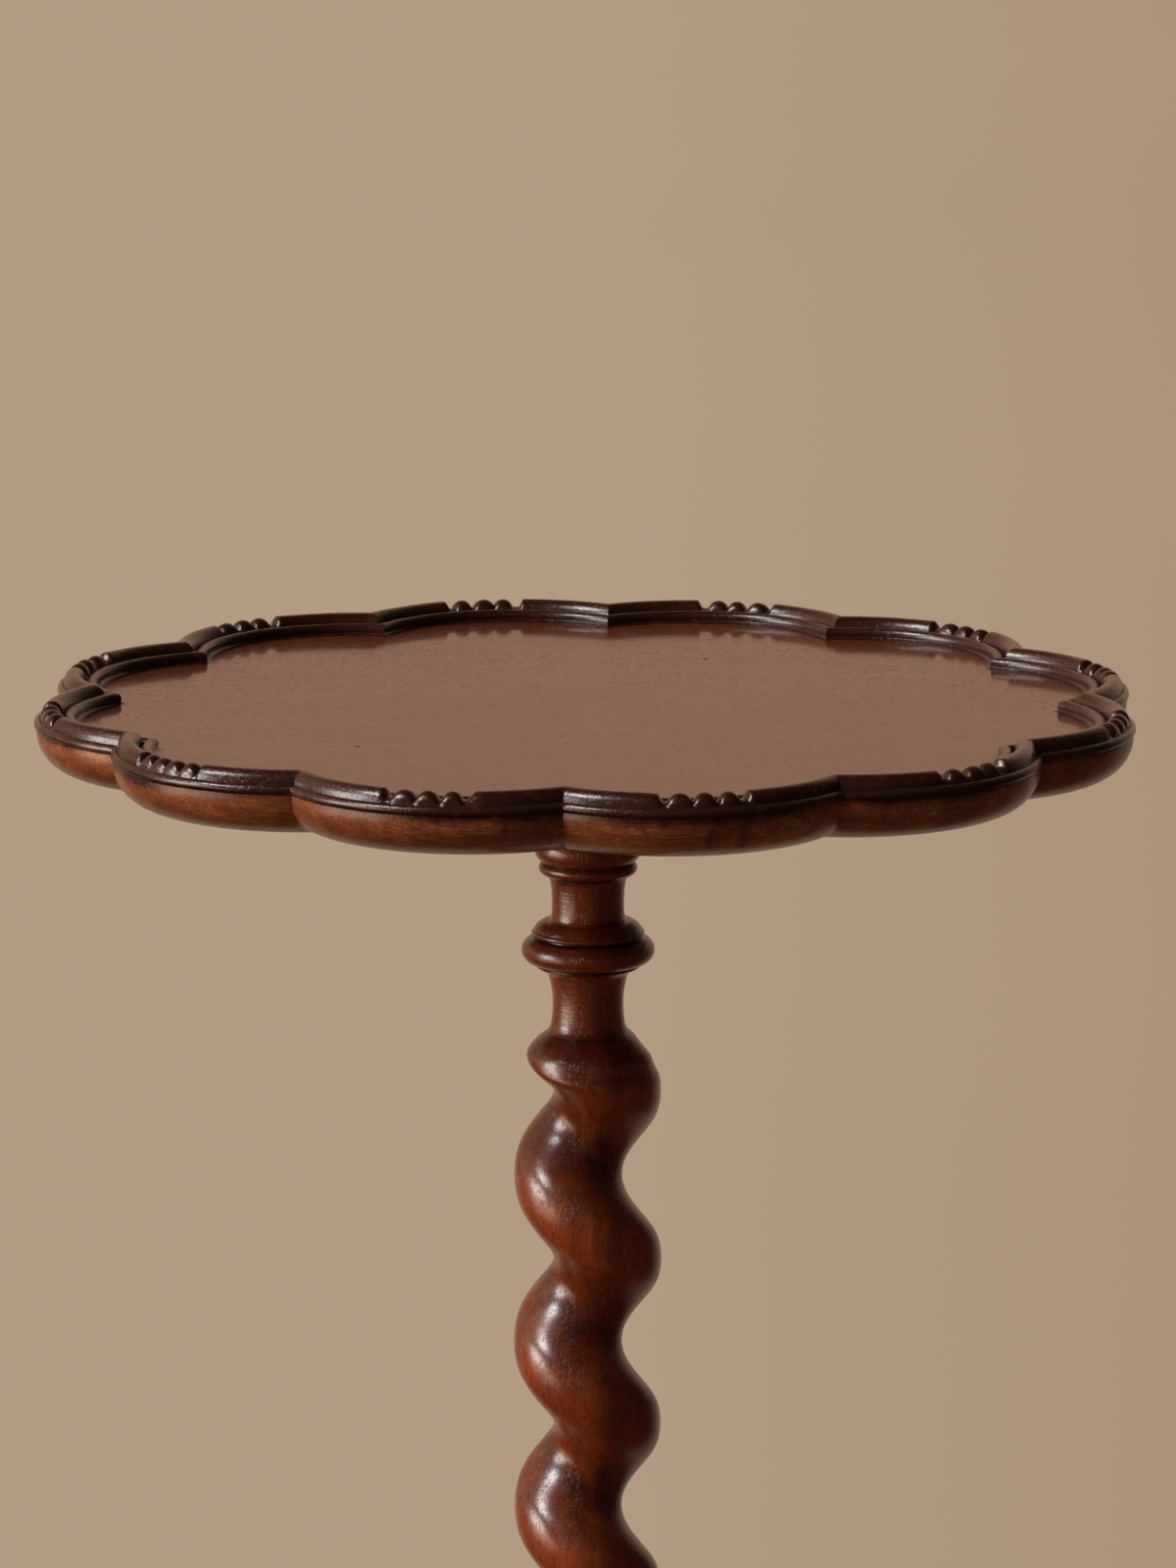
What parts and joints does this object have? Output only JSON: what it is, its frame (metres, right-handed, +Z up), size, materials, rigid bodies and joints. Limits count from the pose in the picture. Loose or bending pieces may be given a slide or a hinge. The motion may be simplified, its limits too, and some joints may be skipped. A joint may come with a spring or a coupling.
{
  "type": "wine table",
  "caption": "Small round occasional table with a dished, moulded and lobed top on a turned barley-twist column and a tripod of dovetailed cabriole legs.",
  "frame": {"origin": "on the floor, under the column's axis", "axes": "+Z up along the column, the front leg towards -Y, +X to the table's right as it is seen from the front"},
  "size_m": [0.3004, 0.3004, 0.56],
  "materials": {
    "top_mahogany": "french polished",
    "turned_mahogany": "french polished",
    "leg_mahogany": "french polished",
    "wedge_oak": "bare wood",
    "screw_steel": "darkened"
  },
  "bodies": {
    "root": {"table_top": "top_mahogany", "top_boss": "turned_mahogany", "boss_screws": "screw_steel", "tenon_wedge": "wedge_oak", "column": "turned_mahogany", "front_leg": "leg_mahogany", "rear_right_leg": "leg_mahogany", "rear_left_leg": "leg_mahogany"}
  },
  "joints": []
}
